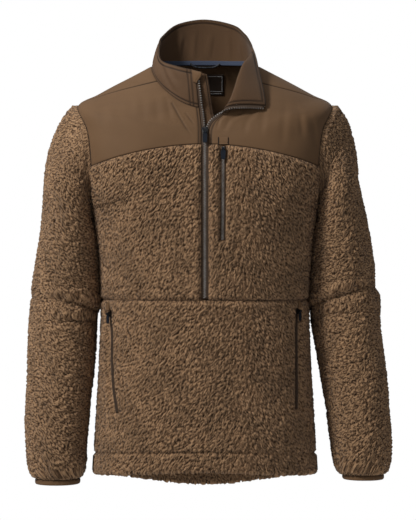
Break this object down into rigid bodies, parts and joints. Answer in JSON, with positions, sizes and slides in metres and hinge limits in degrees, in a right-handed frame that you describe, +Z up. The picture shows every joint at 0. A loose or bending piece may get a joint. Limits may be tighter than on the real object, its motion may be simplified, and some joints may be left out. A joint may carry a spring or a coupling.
{
  "type": "half-zip sherpa fleece pullover",
  "caption": "Worn-shape fleece pullover with a smooth shell yoke and stand collar, open half zip, chest and hand zip pockets and bound cuffs.",
  "frame": {"origin": "middle of the wearer's neck, level with the points where neck and shoulders meet", "axes": "+Z up, front towards -Y, the wearer's left towards +X"},
  "size_m": [0.64, 0.2629, 0.8389],
  "materials": {
    "sherpa": "deep curly pile fleece",
    "shell": "smooth tightly woven softshell",
    "lining": "brushed tricot",
    "tape": "woven zip tape with moulded teeth",
    "trim": "matt dark navy",
    "slider": "glossy dark blue coating",
    "neck_tape": "blue grey herringbone tape",
    "label": "dark satin with a plain border"
  },
  "bodies": {
    "garment": {"front_lower": "sherpa", "front_upper_right": "sherpa", "front_upper_left": "sherpa", "back_body": "sherpa", "yoke_front_right": "shell", "yoke_front_left": "shell", "yoke_back": "shell", "sleeve_right": "sherpa", "cuff_binding_right": "shell", "sleeve_left": "sherpa", "cuff_binding_left": "shell", "collar_shell": "shell", "collar_lining": "lining", "zip_tape_right": "tape", "zip_tape_left": "tape", "wind_flap": "lining", "chin_guard": "shell", "neck_tape": "neck_tape", "hanger_loop": "trim", "neck_label": "label", "chest_zip_tape": "tape", "chest_garage": "trim", "chest_slider": "slider", "hand_zip_tape_right": "tape", "hand_garage_right": "trim", "hand_slider_right": "slider", "hand_zip_tape_left": "tape", "hand_garage_left": "trim", "hand_slider_left": "slider", "zip_slider_main": "slider", "hem_tab_left": "trim", "hem_tab_right": "trim"},
    "main_pull": {"pull_main": "trim"},
    "chest_pull": {"chest_pull": "trim"},
    "hand_pull_right": {"hand_pull_right": "trim"},
    "hand_pull_left": {"hand_pull_left": "trim"}
  },
  "joints": [
    {"name": "main_pull_swing", "type": "hinge", "parent": "garment", "child": "main_pull", "pos_m": [0, -0.10495, -0.11199], "axis": [-1, 0, 0], "range_deg": [0, 165]},
    {"name": "chest_pull_swing", "type": "hinge", "parent": "garment", "child": "chest_pull", "pos_m": [0.03113, -0.11494, -0.14081], "axis": [-0.9995, 0.0304, 0.0009], "range_deg": [0, 150]},
    {"name": "hand_pull_right_swing", "type": "hinge", "parent": "garment", "child": "hand_pull_right", "pos_m": [-0.16859, -0.06287, -0.42386], "axis": [-0.5228, 0.8402, -0.144], "range_deg": [0, 150]},
    {"name": "hand_pull_left_swing", "type": "hinge", "parent": "garment", "child": "hand_pull_left", "pos_m": [0.16444, -0.06895, -0.41889], "axis": [-0.5866, -0.807, 0.0681], "range_deg": [0, 150]}
  ]
}
